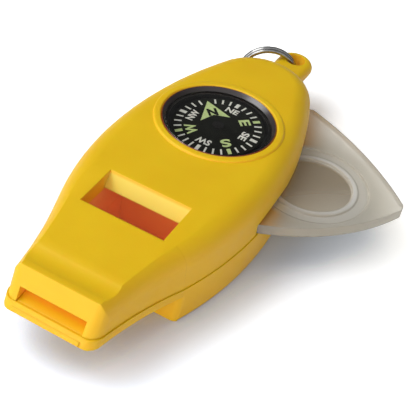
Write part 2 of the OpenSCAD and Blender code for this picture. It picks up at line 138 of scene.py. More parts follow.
class Graph(Wiring):
    """The nodes of one material or sky."""

    def __init__(self, owner: bpy.types.Material | bpy.types.World) -> None:
        """Empties the new material or sky.

        Args:
            owner: The material or sky.
        """
        owner.use_nodes = True
        super().__init__(owner.node_tree)
        self.owner = owner
        self.tree.nodes.clear()
        self.place = self.node("ShaderNodeTexCoord")

    def axes(self, place: str) -> list[Socket]:
        """Splits a coordinate, such as Object or Normal, into its x, y and z."""
        return list(self.node("ShaderNodeSeparateXYZ", {0: self.place.outputs[place]}).outputs)

    def offset(self, centre: Triple) -> Socket:
        """Measures the way from a fixed point to the surface."""
        return self.node("ShaderNodeVectorMath", {0: self.place.outputs["Object"], 1: centre},
                         operation="SUBTRACT").outputs[0]

    def distance(self, centre: Triple = ORIGIN) -> Socket:
        """Measures the distance from an upright line through a point."""
        flat = self.node("ShaderNodeVectorMath", {0: self.offset(centre), 1: (1, 1, 0)}, operation="MULTIPLY")
        return self.node("ShaderNodeVectorMath", {0: flat.outputs[0]}, operation="LENGTH").outputs["Value"]

    def along(self, direction: Triple, centre: Triple = ORIGIN) -> Socket:
        """Measures how far the surface lies from a point, in one direction."""
        return self.node("ShaderNodeVectorMath", {0: self.offset(centre), 1: direction},
                         operation="DOT_PRODUCT").outputs["Value"]

    def noise(self, scale: float, detail: float = 3.0) -> Socket:
        """A cloudy pattern fixed to the piece.

        Args:
            scale: Clouds to a metre.
            detail: Octaves of finer clouds.

        Returns:
            The pattern's value, around a half.
        """
        return self.node("ShaderNodeTexNoise", {
            "Vector": self.place.outputs["Object"], "Scale": scale, "Detail": detail,
            "Roughness": CLOUD_ROUGHNESS}).outputs["Fac"]

    def spread(self, value: Socket, low: float, high: float, start: float = 0.3, end: float = 0.7) -> Socket:
        """Maps a pattern from start to end onto low to high, and keeps it between them."""
        limits = {"From Min": start, "From Max": end, "To Min": low, "To Max": high}
        return self.node("ShaderNodeMapRange", {"Value": value} | limits).outputs["Result"]

    def blend(self, share: Socket | float, first: Socket | Colour, second: Socket | Colour,
              kind: str = "MIX") -> Socket:
        """Mixes two colours or patterns of colour.

        Args:
            share: 0 for the first and 1 for the second.
            first: A colour or a pattern of colour.
            second: Another one.
            kind: Blender's name for the way they mix.

        Returns:
            The mixed colour.
        """
        shades = [c if isinstance(c, Socket) else (*c, 1) for c in (first, second)]
        return self.node("ShaderNodeMix", {0: share, 6: shades[0], 7: shades[1]},
                         data_type="RGBA", blend_type=kind).outputs[2]

    def choose(self, share: Socket, first: Socket, second: Socket) -> Socket:
        """Mixes two shaders: 0 for the first and 1 for the second."""
        return self.node("ShaderNodeMixShader", {0: share, 1: first, 2: second}).outputs[0]

    def relief(self, height: Socket, depth: float, soft_edge: float) -> Socket:
        """A fine relief, over edges that the mould has softened.

        Args:
            height: The pattern that raises the surface.
            depth: How far it does.
            soft_edge: Radius of the softened edges, or 0 for crisp ones.

        Returns:
            The bent normal.
        """
        values = {"Height": height, "Strength": 1.0, "Distance": depth}
        if soft_edge:
            edge = self.node("ShaderNodeBevel", {"Radius": soft_edge}, samples=BEVEL_SAMPLES)
            values["Normal"] = edge.outputs["Normal"]
        return self.node("ShaderNodeBump", values).outputs["Normal"]

    def let_lamps_through(self, glass: Socket, tint: Colour, wet_inside: bool = False) -> Socket:
        """Lets lamps and soft light pass a clear piece.

        Args:
            glass: The shader that the eye sees.
            tint: Share of each colour that passes.
            wet_inside: Whether liquid stands against the inner face, so that only the outer one bends light.

        Returns:
            The joined shader.
        """
        rays = self.node("ShaderNodeLightPath").outputs
        passing = self.math("MAXIMUM", rays["Is Shadow Ray"], rays["Is Diffuse Ray"])
        if wet_inside:
            inner = self.node("ShaderNodeNewGeometry").outputs["Backfacing"]
            passing = self.math("MAXIMUM", passing, inner)
        film = self.node("ShaderNodeBsdfTransparent", {"Color": (*tint, 1)})
        return self.choose(passing, glass, film.outputs[0])

    def close(self, shader: Socket) -> bpy.types.Material | bpy.types.World:
        """Wires the finished shader to the output.

        Args:
            shader: The shader of the surface or the sky.

        Returns:
            The material or sky.
        """
        kind = "World" if isinstance(self.owner, bpy.types.World) else "Material"
        self.node("ShaderNodeOutput" + kind, {"Surface": shader})
        return self.owner


@dataclass(frozen=True)
class Finish:
    """What all finishes share: an uneven gloss, and a fine grain over softened edges."""

    name: str
    ior: float = 1.5
    shine: float = 0.5
    metallic: float = 0.0
    rough_low: float = 0.18
    rough_high: float = 0.30
    gloss_clouds: float = 500.0
    grain: float = 2400.0
    grain_detail: float = 3.0
    grain_depth: float = 0.006 * MM
    edge: float = 0.0

    def graph(self) -> Graph:
        """Starts the material."""
        return Graph(bpy.data.materials.new(self.name))

    def shader(self, g: Graph, extra: dict[str, object] | None = None) -> bpy.types.Node:
        """Makes the shader with its gloss and grain.

        Args:
            g: The nodes of the material.
            extra: Sockets or values for its other inputs.

        Returns:
            The shader's node.
        """
        gloss = g.spread(g.noise(self.gloss_clouds), self.rough_low, self.rough_high)
        grain = g.relief(g.noise(self.grain, self.grain_detail), self.grain_depth, self.edge)
        return g.node("ShaderNodeBsdfPrincipled", {
            "IOR": self.ior, "Specular IOR Level": self.shine, "Metallic": self.metallic,
            "Roughness": gloss, "Normal": grain} | (extra or {}))


@dataclass(frozen=True)
class CloudedFinish(Finish):
    """A finish whose colour drifts between two shades."""

    main: Colour = srgb(22, 20, 19)
    other: Colour = srgb(40, 34, 31)
    clouds: float = 300.0
    cloud_detail: float = 3.0

    def skin(self, g: Graph) -> Socket:
        """Mixes the two shades in soft clouds."""
        return g.blend(g.spread(g.noise(self.clouds, self.cloud_detail), 0.0, 1.0), self.main, self.other)

    def material(self) -> bpy.types.Material:
        """Builds the material."""
        g = self.graph()
        return g.close(self.shader(g, {"Base Color": self.skin(g)}).outputs[0])


@dataclass(frozen=True)
class DarkPlastic(CloudedFinish):
    """Black moulded plastic, rubber or lacquer with a fine surface."""


@dataclass(frozen=True)
class PrintInk(CloudedFinish):
    """Screen-printed ink on the card, a little uneven in its cover."""

    clouds: float = 2600.0
    cloud_detail: float = 2.0
    ior: float = 1.45
    rough_low: float = 0.45
    rough_high: float = 0.62
    gloss_clouds: float = 1800.0
    grain: float = 5200.0
    grain_detail: float = 2.0
    grain_depth: float = 0.008 * MM


@dataclass(frozen=True)
class Metal(CloudedFinish):
    """Plated or bare metal with drawn lines and small scratches."""

    main: Colour = srgb(205, 205, 208)
    other: Colour = srgb(160, 160, 162)
    clouds: float = 900.0
    metallic: float = 1.0
    rough_low: float = 0.12
    rough_high: float = 0.28
    gloss_clouds: float = 1300.0
    grain: float = 1600.0
    grain_detail: float = 4.0
    grain_depth: float = 0.004 * MM


@dataclass(frozen=True)
class Hollow:
    """A box whose walls get painted shade (a deeper colour) or a painted highlight (a paler one), and a
    painted glow that stands in for light reaching them through the plastic.
    """

    low_mm: Triple
    high_mm: Triple
    # Painted light: colour is painted shade when it is deeper and a painted highlight when it is paler; the
    # glow is painted light, as no lamp is there.
    colour: Colour
    painted_glow: Colour
    fade: float

    def share(self, g: Graph) -> Socket:
        """Finds the walls of the hollow.

        Args:
            g: The material that asks.

        Returns:
            1 inside the box and 0 outside it.
        """
        share = None
        for axis, low, high in zip(g.axes("Object"), self.low_mm, self.high_mm):
            for edge, start in ((low * MM, low * MM - self.fade), (high * MM, high * MM + self.fade)):
                inside = g.spread(axis, 0.0, 1.0, start, edge)
                share = inside if share is None else g.math("MULTIPLY", share, inside)
        return share


# Painted light in the shells: the chamber and the windway get painted shade, a deeper orange, and a painted
# glow; the blade slope gets a painted highlight, a paler yellow.
CHAMBER = Hollow(low_mm=(-7.45, -31.4, 1.0), high_mm=(7.45, -17.9, 12.1), colour=(0.97, 0.36, 0.08),
                 painted_glow=(0.055, 0.026, 0.012), fade=0.3 * MM)
WINDWAY = Hollow(low_mm=(-6.0, -47.9, 9.7), high_mm=(6.0, -31.9, 11.3), colour=(0.96, 0.46, 0.04),
                 painted_glow=(0.15, 0.05, 0.006), fade=0.35 * MM)
BLADE = Hollow(low_mm=(-7.25, -24.5, 12.5), high_mm=(7.25, -23.1, 14.9), colour=(0.93, 0.72, 0.11),
               painted_glow=BLACK, fade=0.2 * MM)


@dataclass(frozen=True)
class ShellPlastic(CloudedFinish):
    """Yellow moulded plastic that lets a little light in, with painted shade: a warmer orange on its steep
    sides, and painted shade, highlight and glow in its hollows.
    """

    main: Colour = srgb(241, 199, 24)
    other: Colour = srgb(236, 191, 20)
    clouds: float = 85.0
    cloud_detail: float = 2.0
    # Painted shade: steep side faces turn this warmer orange, for the shade that falls on them.
    painted_side_shade: Colour = (1.0, 0.555, 0.022)
    painted_side_shade_full: float = 0.3
    painted_side_shade_none: float = 0.95
    soft: float = 0.35
    soft_reach: float = 1.0 * MM
    soft_colours: Colour = (1.0, 0.6, 0.2)
    shine: float = 0.3
    rough_low: float = 0.36
    rough_high: float = 0.46
    gloss_clouds: float = 420.0
    grain: float = 1500.0
    grain_detail: float = 4.0
    grain_depth: float = 0.012 * MM
    edge: float = 0.22 * MM
    hollows: tuple[Hollow, ...] = (CHAMBER, WINDWAY, BLADE)

    def material(self) -> bpy.types.Material:
        """Builds the material.

        Returns:
            The material.
        """
        g = self.graph()
        # Painted shade: steep faces turn a warmer orange, and each hollow lays on its painted shade or
        # highlight and its painted glow.
        steep = g.spread(g.axes("Normal")[2], 1.0, 0.0, self.painted_side_shade_full, self.painted_side_shade_none)
        skin, painted_glow = g.blend(steep, self.skin(g), self.painted_side_shade), BLACK
        for hollow in self.hollows:
            share = hollow.share(g)
            skin = g.blend(share, skin, hollow.colour)
            painted_glow = g.blend(share, painted_glow, hollow.painted_glow)
        return g.close(self.shader(g, {
            "Base Color": skin, "Emission Color": painted_glow, "Emission Strength": 1.0,
            "Subsurface Weight": self.soft, "Subsurface Radius": self.soft_colours,
            "Subsurface Scale": self.soft_reach}).outputs[0])


@dataclass(frozen=True)
class ClearPlastic(Finish):
    """Clear moulded plastic with faint haze and fine handling marks."""

    tint: Colour = srgb(250, 250, 248)
    clear: float = 1.0
    wet_inside: bool = True
    ior: float = 1.36
    shine: float = 0.3
    rough_low: float = 0.01
    rough_high: float = 0.03
    gloss_clouds: float = 260.0
    grain: float = 700.0
    grain_detail: float = 2.0
    grain_depth: float = 0.004 * MM
    edge: float = 0.18 * MM

    def material(self) -> bpy.types.Material:
        """Builds the material.

        Returns:
            The material.
        """
        g = self.graph()
        glass = self.shader(g, {"Base Color": (*self.tint, 1), "Transmission Weight": self.clear})
        return g.close(g.let_lamps_through(glass.outputs[0], self.tint, self.wet_inside))


@dataclass(frozen=True)
class LeafPlastic(CloudedFinish):
    """Slightly milky clear plastic of the leaf, with painted light: its lens has painted shade for the
    shadowed floor seen through it, lighter toward the corner; the ring round it is paler; the tip is painted
    lighter; and a painted yellow reflection of the shells lies where it is close to them."""

    main: Colour = srgb(214, 209, 196)
    other: Colour = tuple(0.95 * part for part in main)
    clouds: float = 140.0
    cloud_detail: float = 2.0
    # Painted light: the lens shade, the lighter lens side toward the corner, the lighter tip and the yellow
    # reflection of the shells.
    painted_lens_shade: Colour = srgb(190, 176, 154)
    painted_lens_lighter: Colour = srgb(216, 208, 192)
    ring_tint: Colour = srgb(224, 220, 210)
    bead_tint: Colour = srgb(244, 243, 238)
    painted_tip_light: Colour = srgb(238, 234, 224)
    painted_shell_reflection: Colour = srgb(244, 176, 62)
    light: Colour = srgb(238, 236, 230)
    lens_place: Triple = (18.17 * MM, 2.59 * MM, 0.0)
    corner: Triple = (math.sqrt(0.5), -math.sqrt(0.5), 0.0)
    lens_r: float = 7.1 * MM
    bead_r: float = 8.1 * MM
    ring_r: float = 9.9 * MM
    tip_from: float = 11 * MM
    tip_to: float = 17 * MM
    fade: float = 0.25 * MM
    shell_reflection_reach: float = 7 * MM
    shell_reflection_samples: int = 8
    covered: float = 0.45
    uncovered: float = 0.88
    tilted: float = 0.8
    level: float = 0.95
    clear: float = 0.66
    ior: float = 1.45
    shine: float = 0.35
    rough_low: float = 0.16
    rough_high: float = 0.26
    gloss_clouds: float = 260.0
    grain: float = 700.0
    grain_detail: float = 2.0
    grain_depth: float = 0.004 * MM
    edge: float = 0.45 * MM

    def closeness(self, g: Graph, reach: Socket) -> Socket:
        """Finds where the upper face, outside the ring, is close to the shells, which is where the painted
        yellow reflection goes.

        Args:
            g: The nodes of the material.
            reach: Distance from the middle of the lens.

        Returns:
            1 where it is close and 0 elsewhere.
        """
        sky = g.node("ShaderNodeAmbientOcclusion", {"Distance": self.shell_reflection_reach}, samples=self.shell_reflection_samples)
        inner = g.node("ShaderNodeNewGeometry").outputs["Backfacing"]
        share = g.spread(inner, 1.0, 0.0, 0.0, 1.0)
        for part in (g.spread(g.axes("Normal")[2], 0.0, 1.0, self.tilted, self.level),
                     g.spread(sky.outputs["AO"], 1.0, 0.0, self.covered, self.uncovered),
                     g.spread(reach, 0.0, 1.0, self.ring_r + self.fade / 2, self.ring_r + 5 * self.fade)):
            share = g.math("MULTIPLY", share, part)
        return share

    def material(self) -> bpy.types.Material:
        """Builds the material.

        Returns:
            The material.
        """
        g = self.graph()
        reach = g.distance(self.lens_place)
        front = g.spread(g.along(self.corner, self.lens_place), 0.0, 1.0, 0.0, self.lens_r)
        in_lens = g.spread(reach, 1.0, 0.0, self.lens_r - self.fade, self.lens_r + self.fade)
        skin = self.skin(g)
        # Painted light: shade on the lens, lighter toward the corner and at the tip, and a yellow reflection
        # of the shells close to them.
        for share, tint in (
                (g.spread(reach, 0.0, 1.0, self.tip_from, self.tip_to), self.painted_tip_light),
                (g.spread(reach, 1.0, 0.0, self.ring_r - 2 * self.fade, self.ring_r), self.ring_tint),
                (g.spread(reach, 1.0, 0.0, self.bead_r - 2 * self.fade, self.bead_r), self.bead_tint),
                (in_lens, self.painted_lens_shade),
                (g.math("MULTIPLY", in_lens, front), self.painted_lens_lighter),
                (self.closeness(g, reach), self.painted_shell_reflection)):
            skin = g.blend(share, skin, tint)
        glass = self.shader(g, {"Base Color": skin, "Transmission Weight": self.clear})
        return g.close(g.let_lamps_through(glass.outputs[0], self.light))


@dataclass(frozen=True)
class SmokedPlastic(Finish):
    """Glossy black plastic of the capsule, brown on its bezel, and with painted shade on the rim: a red-brown
    that stands in for the shaded yellow wall of the well.
    """

    main: Colour = srgb(22, 20, 19)
    bezel: Colour = srgb(40, 29, 28)
    # Painted shade: the red-brown rim stands in for the shaded yellow wall of the well.
    rim: Colour = srgb(150, 62, 24)
    bezel_from: float = 9.15 * MM
    bezel_to: float = 9.35 * MM
    rim_from: float = 9.78 * MM
    rim_to: float = 9.95 * MM
    shine: float = 1.0
    rough_low: float = 0.16
    rough_high: float = 0.26
    grain_depth: float = 0.005 * MM
    edge: float = 0.1 * MM

    def material(self) -> bpy.types.Material:
        """Builds the material.

        Returns:
            The material.
        """
        g = self.graph()
        reach = g.distance()
        skin = g.blend(g.spread(reach, 0.0, 1.0, self.bezel_from, self.bezel_to), self.main, self.bezel)
        # Painted shade: the outer rim turns red-brown, for the shaded yellow wall of the well.
        skin = g.blend(g.spread(reach, 0.0, 1.0, self.rim_from, self.rim_to), skin, self.rim)
        return g.close(self.shader(g, {"Base Color": skin}).outputs[0])


def add_to_scene(name: str, data: bpy.types.ID) -> bpy.types.Object:
    """Puts a mesh, curve, lamp or camera into the scene.

    Args:
        name: Name of the object.
        data: What the object shows.

    Returns:
        The object, at the origin.
    """
    thing = bpy.data.objects.new(name, data)
    bpy.context.scene.collection.objects.link(thing)
    return thing


def frozen_mesh(live: bpy.types.Object, name: str) -> bpy.types.Mesh:
    """Turns a live object into a plain mesh and removes the object.

    Args:
        live: The object, with its modifiers or as a curve.
        name: Name of the mesh.

    Returns:
        The mesh.
    """
    bpy.context.view_layer.update()
    graph = bpy.context.evaluated_depsgraph_get()
    mesh = bpy.data.meshes.new_from_object(live.evaluated_get(graph), preserve_all_data_layers=True,
                                           depsgraph=graph)
    mesh.name = name
    bpy.data.objects.remove(live)
    return mesh


def crease(work: bmesh.types.BMesh) -> None:
    """Shades the faces smooth and keeps sharp and open edges crisp.

    Args:
        work: The mesh at work.
    """
    for face in work.faces:
        face.smooth = True
    for edge in work.edges:
        edge.smooth = len(edge.link_faces) == 2 and edge.calc_face_angle(0.0) < CREASE


def dress(piece: bpy.types.Object, material: bpy.types.Material) -> None:
    """Gives a whole piece one material.

    Args:
        piece: The piece.
        material: The material.
    """
    piece.data.materials.clear()
    piece.data.materials.append(material)
    for face in piece.data.polygons:
        face.material_index = 0


def stand_in(piece: bpy.types.Object, material: bpy.types.Material, node: str, body: str) -> bpy.types.Object:
    """Dresses a piece that stands for a part's solid, moves it with its body and hides the solid.

    Args:
        piece: The piece.
        material: Its material.
        node: The solid that it stands for.
        body: The body that it moves with.

    Returns:
        The piece.
    """
    dress(piece, material)
    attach(piece, body)
    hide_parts(node)
    return piece


def smooth_copy(node: str) -> bpy.types.Object:
    """Copies a part's mesh, joins its loose triangles and shades its curves smooth.

    Args:
        node: The part to copy.

    Returns:
        The copy.
    """
    name = node + "_skin"
    mesh = frame["nodes"][node].data.copy()
    mesh.name = name
    work = bmesh.new()
    work.from_mesh(mesh)
    bmesh.ops.remove_doubles(work, verts=work.verts, dist=MERGE_GAP)
    crease(work)
    work.to_mesh(mesh)
    work.free()
    if mesh.has_custom_normals:
        mesh.attributes.remove(mesh.attributes["custom_normal"])
    return add_to_scene(name, mesh)


def flat_piece(name: str, outline: list[tuple[float, float]], height: float) -> bpy.types.Object:
    """A thin flat piece with the given outline, standing on the ground plane.

    Args:
        name: Name of the piece.
        outline: Corners, anticlockwise.
        height: Thickness.

    Returns:
        The piece.
    """
    work = bmesh.new()
    face = work.faces.new([work.verts.new((x, y, 0.0)) for x, y in outline])
    raised = bmesh.ops.extrude_face_region(work, geom=[face])
    corners = [v for v in raised["geom"] if isinstance(v, bmesh.types.BMVert)]
    bmesh.ops.translate(work, verts=corners, vec=(0, 0, height))
    bmesh.ops.recalc_face_normals(work, faces=work.faces)
    mesh = bpy.data.meshes.new(name)
    work.to_mesh(mesh)
    work.free()
    return add_to_scene(name, mesh)


def lettering(name: str, words: str, size: Triple, weight: float) -> bpy.types.Object:
    """Letters as a thin solid, centred on the origin, made to a given size.

    Args:
        name: Name of the piece.
        words: The letters.
        size: Width over all the letters, height of the capitals and thickness.
        weight: How far the strokes are made fatter, as a share of the height.

    Returns:
        The piece.
    """
    curve = bpy.data.curves.new(name, "FONT")
    curve.body = words
    curve.size = 1.0
    curve.extrude = curve.size / 2
    curve.offset = weight
    curve.resolution_u = LETTER_STEPS
    mesh = frozen_mesh(add_to_scene(name + "_curve", curve), name)
    spots = np.array([v.co for v in mesh.vertices])
    low, high = spots.min(0), spots.max(0)
    scale = Matrix.Diagonal((*(wanted / drawn for wanted, drawn in zip(size, high - low)), 1))
    mesh.transform(scale @ Matrix.Translation(-Vector((low + high) / 2)))
    return add_to_scene(name, mesh)


def lathe(name: str, profile: list[tuple[float, float]], steps: int = 96) -> bpy.types.Object:
    """Turns a closed profile round the compass axis.

    Args:
        name: Name of the piece.
        profile: Radius and height of its corners; those on the axis close it.
        steps: Faces round the turn.

    Returns:
        The piece.
    """
    work = bmesh.new()
    loops = []
    for radius, height in profile:
        angles = [0.0] if radius < ON_AXIS else [2 * math.pi * i / steps for i in range(steps)]
        loops.append([work.verts.new((radius * math.cos(a), radius * math.sin(a), height)) for a in angles])
    for first, second in zip(loops, loops[1:] + loops[:1]):
        for i in range(steps):
            j = i + 1
            ring = [first[i % len(first)], first[j % len(first)], second[j % len(second)],
                    second[i % len(second)]]
            corners = list(dict.fromkeys(ring))
            if len(corners) > 2:
                work.faces.new(corners)
    bmesh.ops.recalc_face_normals(work, faces=work.faces)
    crease(work)
    mesh = bpy.data.meshes.new(name)
    work.to_mesh(mesh)
    work.free()
    return add_to_scene(name, mesh)


class ShapeTree(Wiring):
    """A geometry tree with named inputs, run once into a plain mesh."""

    def __init__(self, name: str, kinds: dict[str, str]) -> None:
        """Starts the tree and declares its inputs.

        Args:
            name: The name of the tree.
            kinds: The kind of socket for each input's name, such as Float or Int.
        """
        super().__init__(bpy.data.node_groups.new(name, "GeometryNodeTree"))
        sockets = self.tree.interface
        sockets.new_socket("Geometry", in_out="OUTPUT", socket_type="NodeSocketGeometry")
        self.ids = {key: sockets.new_socket(key, in_out="INPUT", socket_type="NodeSocket" + kind).identifier
                    for key, kind in kinds.items()}
        self.entry = self.tree.nodes.new("NodeGroupInput")

    def meant(self, value: object) -> object:
        """Gives the tree's own input where a value is the name of one."""
        named = isinstance(value, str) and value in self.ids
        return self.entry.outputs[value] if named else value

    def vector(self, x: object = 0.0, y: object = 0.0, z: object = 0.0) -> Socket:
        """Joins three values, each a socket, an input's name or a number."""
        return self.node("ShaderNodeCombineXYZ", {0: x, 1: y, 2: z}).outputs[0]

    def close(self, geometry: Socket) -> None:
        """Ends the tree in plain meshes with their material.

        Args:
            geometry: What the tree has made.
        """
        plain = self.node("GeometryNodeRealizeInstances", {0: geometry}).outputs[0]
        dressed = self.node("GeometryNodeSetMaterial", {"Geometry": plain, "Material": "Material"})
        self.node("NodeGroupOutput", {0: dressed.outputs[0]})

    def bake(self, name: str, values: dict[str, object]) -> bpy.types.Object:
        """Runs the tree once and keeps its plain mesh.

        Args:
            name: Name of the piece.
            values: A value for each named input.

        Returns:
            The piece, with no modifier.
        """
        carrier = add_to_scene(name + "_carrier", bpy.data.meshes.new(name + "_carrier"))
        modifier = carrier.modifiers.new("build", "NODES")
        modifier.node_group = self.tree
        for key, value in values.items():
            modifier[self.ids[key]] = value
        return add_to_scene(name, frozen_mesh(carrier, name))


@dataclass
class ShellPair:
    """The two yellow shells: the upper one with windway, window and compass well, and the lower one."""

    upper_finish: ShellPlastic = ShellPlastic("shell_top_plastic")
    lower_finish: ShellPlastic = ShellPlastic("shell_bottom_plastic", main=srgb(238, 186, 22))
    pieces: list[bpy.types.Object] = field(default_factory=list)

    def build(self) -> None:
        """Copies both shells with smooth curves and dresses them."""
        for node, slot, finish in (("upper_shell", "shell_top", self.upper_finish),
                                   ("lower_shell", "shell_bottom", self.lower_finish)):
            self.pieces.append(stand_in(smooth_copy(node), finish.material(), node, "whistle"))


@dataclass
class MagnifierLeaf:
    """The clear leaf with its round lens, on a steel pin."""

    finish: LeafPlastic = LeafPlastic("clear_leaf_plastic")
    pin_finish: Metal = Metal("hinge_pin_steel")
    pieces: list[bpy.types.Object] = field(default_factory=list)

    def build(self) -> None:
        """Copies the leaf with a smooth lens and dresses it and the pin."""
        node, pin = "magnifier_leaf", frame["nodes"]["leaf_pin"]
        leaf = stand_in(smooth_copy(node), self.finish.material(), node, "leaf")
        dress(pin, self.pin_finish.material())
        self.pieces = [leaf, pin]


@dataclass
class CompassCapsule:
    """The black cup, its seal, the clear dome and the pivot post."""

    edge_w: float = 0.12 * MM
    seat_w: float = 0.45 * MM
    rim_drop: float = 0.1 * MM
    cup_finish: SmokedPlastic = SmokedPlastic("capsule_cup_plastic")
    seal_finish: DarkPlastic = DarkPlastic("seal_rubber", main=srgb(24, 22, 21), rough_low=0.5,
                                           rough_high=0.7)
    dome_finish: ClearPlastic = ClearPlastic("clear_dome_plastic")
    post_finish: Metal = Metal("pivot_brass", main=srgb(205, 170, 90), other=srgb(170, 135, 70))
    pieces: list[bpy.types.Object] = field(default_factory=list)

    def cup(self) -> bpy.types.Object:
        """Turns the cup with its sloping bezel, which rises to just below the collar of the shell.

        Returns:
            The cup.
        """
        low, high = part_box("compass_cup")
        seal_low, seal_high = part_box("dome_seal")
        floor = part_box("compass_post")[0].z
        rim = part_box("upper_shell")[1].z - self.rim_drop
        outer, bore, edge = high.x, seal_high.x - self.seat_w, self.edge_w
        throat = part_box("compass_dome")[1].x + edge / 2
        return lathe("capsule_cup", [
            (0, low.z), (outer - edge, low.z), (outer, low.z + edge), (outer, rim - edge),
            (outer - edge, rim), (throat, high.z), (throat, seal_low.z), (bore, seal_low.z), (bore, floor),
            (0, floor)])

    def build(self) -> None:
        """Turns the cup and dresses the parts of the capsule."""
        post = frame["nodes"]["compass_post"]
        for node, slot, piece, finish in (
                ("compass_cup", "cup_black", self.cup(), self.cup_finish),
                ("compass_dome", "clear_dome", smooth_copy("compass_dome"), self.dome_finish),
                ("dome_seal", "seal_rubber", smooth_copy("dome_seal"), self.seal_finish)):
            self.pieces.append(stand_in(piece, finish.material(), node, "whistle"))
        dress(post, self.post_finish.material())
        self.pieces.append(post)


class Ink(Enum):
    """The two inks on the compass card."""

    PLAIN = "plain"
    LUMINOUS = "luminous"


@dataclass(frozen=True)
class DialWord:
    """Letters on the card: what they say, where they stand and how they are printed."""

    words: str
    bearing: float
    radius: float
    height: float
    width: float
    ink: Ink


@dataclass
class CompassCard:
    """The black card that turns under the dome, with its printed marks, jewel and magnet."""

    north: float = 133.65
    tilt: float = 6.9
    tilt_towards: float = 31.0
    card_t: float = 0.5 * MM
    print_t: float = 0.03 * MM
    tick_outer: float = 7.55 * MM
    tick_length: float = 1.3 * MM
    fine_count: int = 32
    fine_width: float = 0.32 * MM
    bold_count: int = 8
    bold_width: float = 0.66 * MM
    quarter_count: int = 4
    arrow_tip: float = 7.1 * MM
    arrow_half: float = 2.65 * MM
    arrow_barb: float = 1.8 * MM
    arrow_notch: float = 2.95 * MM
    north_r: float = 3.75 * MM
    north_size: tuple[float, float] = (1.75 * MM, 2.1 * MM)
    north_weight: float = 0.05
    quarter_r: float = 4.75 * MM
    quarter_h: float = 1.95 * MM
    between_r: float = 5.0 * MM
    between_h: float = 1.4 * MM
    word_weight: float = 0.03
    inks: dict[Ink, PrintInk] = field(default_factory=lambda: {
        Ink.PLAIN: PrintInk("plain_ink", main=srgb(236, 236, 230), other=srgb(214, 214, 208)),
        Ink.LUMINOUS: PrintInk("luminous_ink", main=srgb(204, 220, 156), other=srgb(184, 204, 136)),
    })
    card_finish: DarkPlastic = DarkPlastic("card_lacquer", main=srgb(17, 18, 15), other=srgb(24, 25, 21),
                                           rough_low=0.55, rough_high=0.7, shine=0.05)
    jewel_finish: DarkPlastic = DarkPlastic("jewel_plastic", main=srgb(14, 13, 13), other=srgb(20, 18, 17))
    magnet_finish: Metal = Metal("magnet_steel", main=srgb(120, 120, 124), other=srgb(84, 84, 88))
    pieces: list[bpy.types.Object] = field(default_factory=list)

    def words(self) -> list[DialWord]:
        """The letters of the eight main bearings, without the north one, which is part of the arrow.

        Returns:
            One entry for each.
        """
        quarters = (("E", 90, 1.6), ("S", 180, 1.7), ("W", 270, 2.6))
        between = (("NE", 45, 2.35), ("SE", 135, 2.25), ("SW", 225, 2.7), ("NW", 315, 2.9))
        return [DialWord(words, bearing, radius, height, width_mm * MM, ink)
                for rows, radius, height, ink in (
                    (quarters, self.quarter_r, self.quarter_h, Ink.LUMINOUS),
                    (between, self.between_r, self.between_h, Ink.PLAIN))
                for words, bearing, width_mm in rows]

    def face_z(self) -> float:
        """Gives the height of the middle of the card's upper face."""
        low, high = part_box("compass_card")
        return (low.z + high.z) / 2 + self.card_t / 2 * math.cos(math.radians(self.tilt))

    def seat(self) -> Matrix:
        """The place of the card's upper face: tilted on its post.

        Returns:
            The matrix from a flat drawing with north along +Y to the card.
        """
        axis = Matrix.Rotation(math.radians(self.tilt_towards), 3, "Z") @ Vector((0, 1, 0))
        lean = Matrix.Rotation(-math.radians(self.tilt), 4, axis)
        turn = Matrix.Rotation(math.radians(self.north - 90), 4, "Z")
        return Matrix.Translation((0, 0, self.face_z())) @ lean @ turn

    def tick_tree(self) -> ShapeTree:
        """The tree that lays bars round the card, all but the first of each few.

        Returns:
            The tree.
        """
        t = ShapeTree("radial_bars", {
            "Count": "Int", "Skip Every": "Int", "Step": "Float", "Outer Radius": "Float", "Length": "Float",
            "Width": "Float", "Thickness": "Float", "Material": "Material"})
        points = t.node("GeometryNodePoints", {"Count": "Count"})
        bar = t.node("GeometryNodeMeshCube", {"Size": t.vector("Width", "Length", "Thickness")})
        middle = t.math("SUBTRACT", "Outer Radius", t.math("MULTIPLY", "Length", 0.5))
        half = t.math("MULTIPLY", "Thickness", 0.5)
        moved = t.node("GeometryNodeTransform", {
            "Geometry": bar.outputs[0], "Translation": t.vector(0.0, middle, half)})
        index = t.node("GeometryNodeInputIndex").outputs[0]
        place_in_few = t.math("MODULO", index, "Skip Every")
        bearing = t.math("MULTIPLY", index, "Step")
        laid = t.node("GeometryNodeInstanceOnPoints", {
            "Points": points.outputs[0], "Instance": moved.outputs[0],
            "Selection": t.math("GREATER_THAN", place_in_few, 0.5),
            "Rotation": t.vector(0.0, 0.0, t.math("MULTIPLY", bearing, -1.0))})
        t.close(laid.outputs[0])
        return t

    def ticks(self, materials: dict[Ink, bpy.types.Material]) -> list[bpy.types.Object]:
        """Lays the ticks of the card.

        Args:
            materials: The material of each ink.

        Returns:
            The fine, the bold plain and the bold luminous ticks.
        """
        tree = self.tick_tree()
        fine, bold, quarters = self.fine_count, self.bold_count, self.quarter_count
        common = {"Outer Radius": self.tick_outer, "Length": self.tick_length, "Thickness": self.print_t}
        return [tree.bake(name, common | {
            "Count": count, "Skip Every": few, "Step": 2 * math.pi / count, "Width": width,
            "Material": materials[ink]})
            for name, count, few, width, ink in (
                ("fine_ticks", fine, fine // bold, self.fine_width, Ink.PLAIN),
                ("bold_plain_ticks", bold, bold // quarters, self.bold_width, Ink.PLAIN),
                ("bold_luminous_ticks", quarters, quarters, self.bold_width, Ink.LUMINOUS))]

